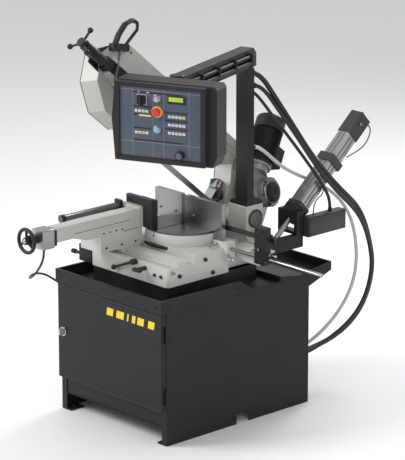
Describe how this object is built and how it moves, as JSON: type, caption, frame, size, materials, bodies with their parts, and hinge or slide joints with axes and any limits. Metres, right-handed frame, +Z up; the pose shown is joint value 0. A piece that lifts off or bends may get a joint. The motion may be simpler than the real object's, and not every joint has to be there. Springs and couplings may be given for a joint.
{
  "type": "mitre band saw",
  "caption": "Floor-standing band saw for metal with a raised tilting bow, swivelling table, front vise, feed cylinder, length stop and a control panel on a boom.",
  "frame": {"origin": "on the floor, under the centre of the turntable and of the floor anchors", "axes": "+X to the operator's right, +Y to the back, +Z up"},
  "size_m": [1.3755, 1.9395, 2.0398],
  "materials": {
    "black_paint": "semi-gloss powder coat",
    "grey_paint": "satin",
    "casting": "satin painted and machined",
    "steel": "ground",
    "dark_steel": "blackened",
    "aluminium": "extruded",
    "black_plastic": "matte",
    "red_plastic": "gloss",
    "blue_plastic": "gloss",
    "black_rubber": "matte",
    "grey_rubber": "satin"
  },
  "bodies": {
    "base": {"cabinet": "black_paint", "tray": "black_paint", "plinth": "black_paint", "base_casting": "casting", "fence_right": "steel", "fence_bracket": "black_paint", "stop_rod": "steel", "coolant_tank": "black_paint", "index_stop": "black_paint", "main_hose": "black_rubber", "second_hose": "black_rubber", "return_hose": "grey_rubber", "jaw_hose": "black_rubber"},
    "door": {"door": "black_paint"},
    "door_latch": {"door_latch": "steel"},
    "fence_left": {"fence_left": "steel"},
    "table_lock": {"table_lock": "black_plastic"},
    "vise_lock": {"vise_lock": "black_plastic"},
    "vise_carriage": {"vise_carriage": "casting"},
    "vise_ram": {"vise_arm": "grey_paint", "vise_actuator": "aluminium", "jaw_carrier": "casting", "jaw_plate": "dark_steel", "guide_tube": "dark_steel"},
    "vise_handwheel": {"vise_handwheel": "black_plastic"},
    "swivel": {"wear_plate": "steel", "turntable_rim": "casting", "swivel_arm": "black_paint", "pivot_block": "casting", "column": "black_paint", "cylinder_bracket": "black_paint", "feed_cylinder": "aluminium", "cylinder_clamp": "aluminium", "valve_box": "black_plastic", "signal_cable": "black_rubber"},
    "cylinder_rod": {"cylinder_rod": "steel"},
    "boom": {"boom": "black_paint"},
    "panel": {"panel_housing": "black_plastic"},
    "emergency_stop": {"emergency_stop": "red_plastic"},
    "start_button": {"start_button": "blue_plastic"},
    "main_switch": {"main_switch": "black_plastic"},
    "key_switch": {"key_switch": "black_plastic"},
    "feed_knob": {"feed_knob": "black_plastic"},
    "head": {"bow_frame": "grey_paint", "drive_cover": "grey_paint", "idler_cover": "grey_paint", "blade": "steel", "rear_guide": "steel", "gearbox": "casting", "motor": "black_paint", "hinge_hub": "casting", "lift_handle": "black_paint"},
    "front_guide": {"front_guide": "steel"},
    "drive_wheel": {"drive_wheel": "casting"},
    "tension_slide": {"tension_slide": "casting"},
    "idler_wheel": {"idler_wheel": "casting"},
    "tension_handle": {"tension_handle": "steel"},
    "stop_clamp": {"stop_clamp": "black_paint"},
    "stop_bar": {"stop_bar": "dark_steel"}
  },
  "joints": [
    {"name": "door_hinge", "type": "hinge", "parent": "base", "child": "door", "pos_m": [0.393, -0.489, 0.42], "axis": [0, 0, 1], "range_deg": [0, 110]},
    {"name": "door_latch_turn", "type": "hinge", "parent": "door", "child": "door_latch", "pos_m": [-0.336, -0.517, 0.423], "axis": [0, 1, 0], "range_deg": [0, 90]},
    {"name": "fence_slide", "type": "slide", "parent": "base", "child": "fence_left", "axis": [-1, 0, 0], "range_m": [0, 0.06]},
    {"name": "table_lock_turn", "type": "hinge", "parent": "base", "child": "table_lock", "pos_m": [0.12, -0.376, 0.822], "axis": [0, 1, 0], "range_deg": [-90, 90]},
    {"name": "vise_lock_turn", "type": "hinge", "parent": "base", "child": "vise_lock", "pos_m": [0.052, -0.376, 0.842], "axis": [0, 1, 0], "range_deg": [-30, 20]},
    {"name": "vise_cross", "type": "slide", "parent": "base", "child": "vise_carriage", "axis": [1, 0, 0], "range_m": [-0.06, 0], "deforming": ["jaw_hose"]},
    {"name": "vise_slide", "type": "slide", "parent": "vise_carriage", "child": "vise_ram", "axis": [0, 1, 0], "range_m": [-0.09, 0.132], "deforming": ["jaw_hose"]},
    {"name": "vise_screw", "type": "hinge", "parent": "vise_ram", "child": "vise_handwheel", "pos_m": [-0.145, -0.898, 1.005], "axis": [0, 1, 0], "range_deg": [-2700, 3960]},
    {"name": "swivel_turn", "type": "hinge", "parent": "base", "child": "swivel", "pos_m": [0, 0, 0.88], "axis": [0, 0, 1], "range_deg": [0, 45], "deforming": ["main_hose", "second_hose", "return_hose"]},
    {"name": "boom_turn", "type": "hinge", "parent": "swivel", "child": "boom", "pos_m": [0.1775, 0.237, 1.74], "axis": [0, 0, 1], "range_deg": [0, 60]},
    {"name": "panel_turn", "type": "hinge", "parent": "boom", "child": "panel", "pos_m": [0.40309, -0.42565, 1.645], "axis": [0, 0, 1], "range_deg": [-45, 45]},
    {"name": "emergency_stop_press", "type": "slide", "parent": "panel", "child": "emergency_stop", "axis": [-0.4067, 0.9135, 0], "range_m": [0, 0.005]},
    {"name": "start_button_press", "type": "slide", "parent": "panel", "child": "start_button", "axis": [-0.4067, 0.9135, 0], "range_m": [0, 0.004], "stiffness_N_per_m": 400},
    {"name": "main_switch_turn", "type": "hinge", "parent": "panel", "child": "main_switch", "pos_m": [0.39988, -0.6471, 1.752], "axis": [0.4067, -0.9135, 0], "range_deg": [0, 90]},
    {"name": "key_switch_turn", "type": "hinge", "parent": "panel", "child": "key_switch", "pos_m": [0.47114, -0.61538, 1.764], "axis": [0.4067, -0.9135, 0], "range_deg": [0, 45]},
    {"name": "feed_knob_turn", "type": "hinge", "parent": "panel", "child": "feed_knob", "pos_m": [0.57802, -0.56779, 1.504], "axis": [0.4067, -0.9135, 0], "range_deg": [-140, 140]},
    {"name": "head_tilt", "type": "hinge", "parent": "swivel", "child": "head", "pos_m": [0.15, 0.268, 0.967], "axis": [1, 0, 0], "range_deg": [0, 40]},
    {"name": "cylinder_stroke", "type": "slide", "parent": "swivel", "child": "cylinder_rod", "axis": [0, 0.7513, 0.66], "range_m": [0, 0.0965]},
    {"name": "drive_wheel_turn", "type": "hinge", "parent": "head", "child": "drive_wheel", "pos_m": [-0.05362, 0.41681, 1.01049], "axis": [0.9613, 0.1772, 0.2111], "continuous": true},
    {"name": "tension_travel", "type": "slide", "parent": "head", "child": "tension_slide", "axis": [0, -0.766, 0.6428], "range_m": [-0.012, 0]},
    {"name": "idler_wheel_turn", "type": "hinge", "parent": "tension_slide", "child": "idler_wheel", "pos_m": [-0.05362, -0.4335, 1.72399], "axis": [0.9613, 0.1772, 0.2111], "continuous": true},
    {"name": "tension_screw", "type": "hinge", "parent": "head", "child": "tension_handle", "pos_m": [0.04567, -0.56992, 1.86477], "axis": [0, -0.766, 0.6428], "range_deg": [-540, 0]},
    {"name": "front_guide_travel", "type": "slide", "parent": "head", "child": "front_guide", "axis": [0, -0.766, 0.6428], "range_m": [-0.15, 0]},
    {"name": "stop_travel", "type": "slide", "parent": "base", "child": "stop_clamp", "axis": [1, 0, 0], "range_m": [-0.1, 0.3]},
    {"name": "stop_bar_travel", "type": "slide", "parent": "stop_clamp", "child": "stop_bar", "axis": [1, 0, 0], "range_m": [-0.02, 0.3]}
  ],
  "couplings": [
    {"joint": "vise_screw", "follows": "vise_slide", "rad_per_m": 523.6},
    {"joint": "cylinder_stroke", "follows": "head_tilt", "m_per_rad": 0.13817},
    {"joint": "tension_screw", "follows": "tension_travel", "rad_per_m": 785.4},
    {"joint": "idler_wheel_turn", "follows": "drive_wheel_turn", "ratio": 1}
  ]
}
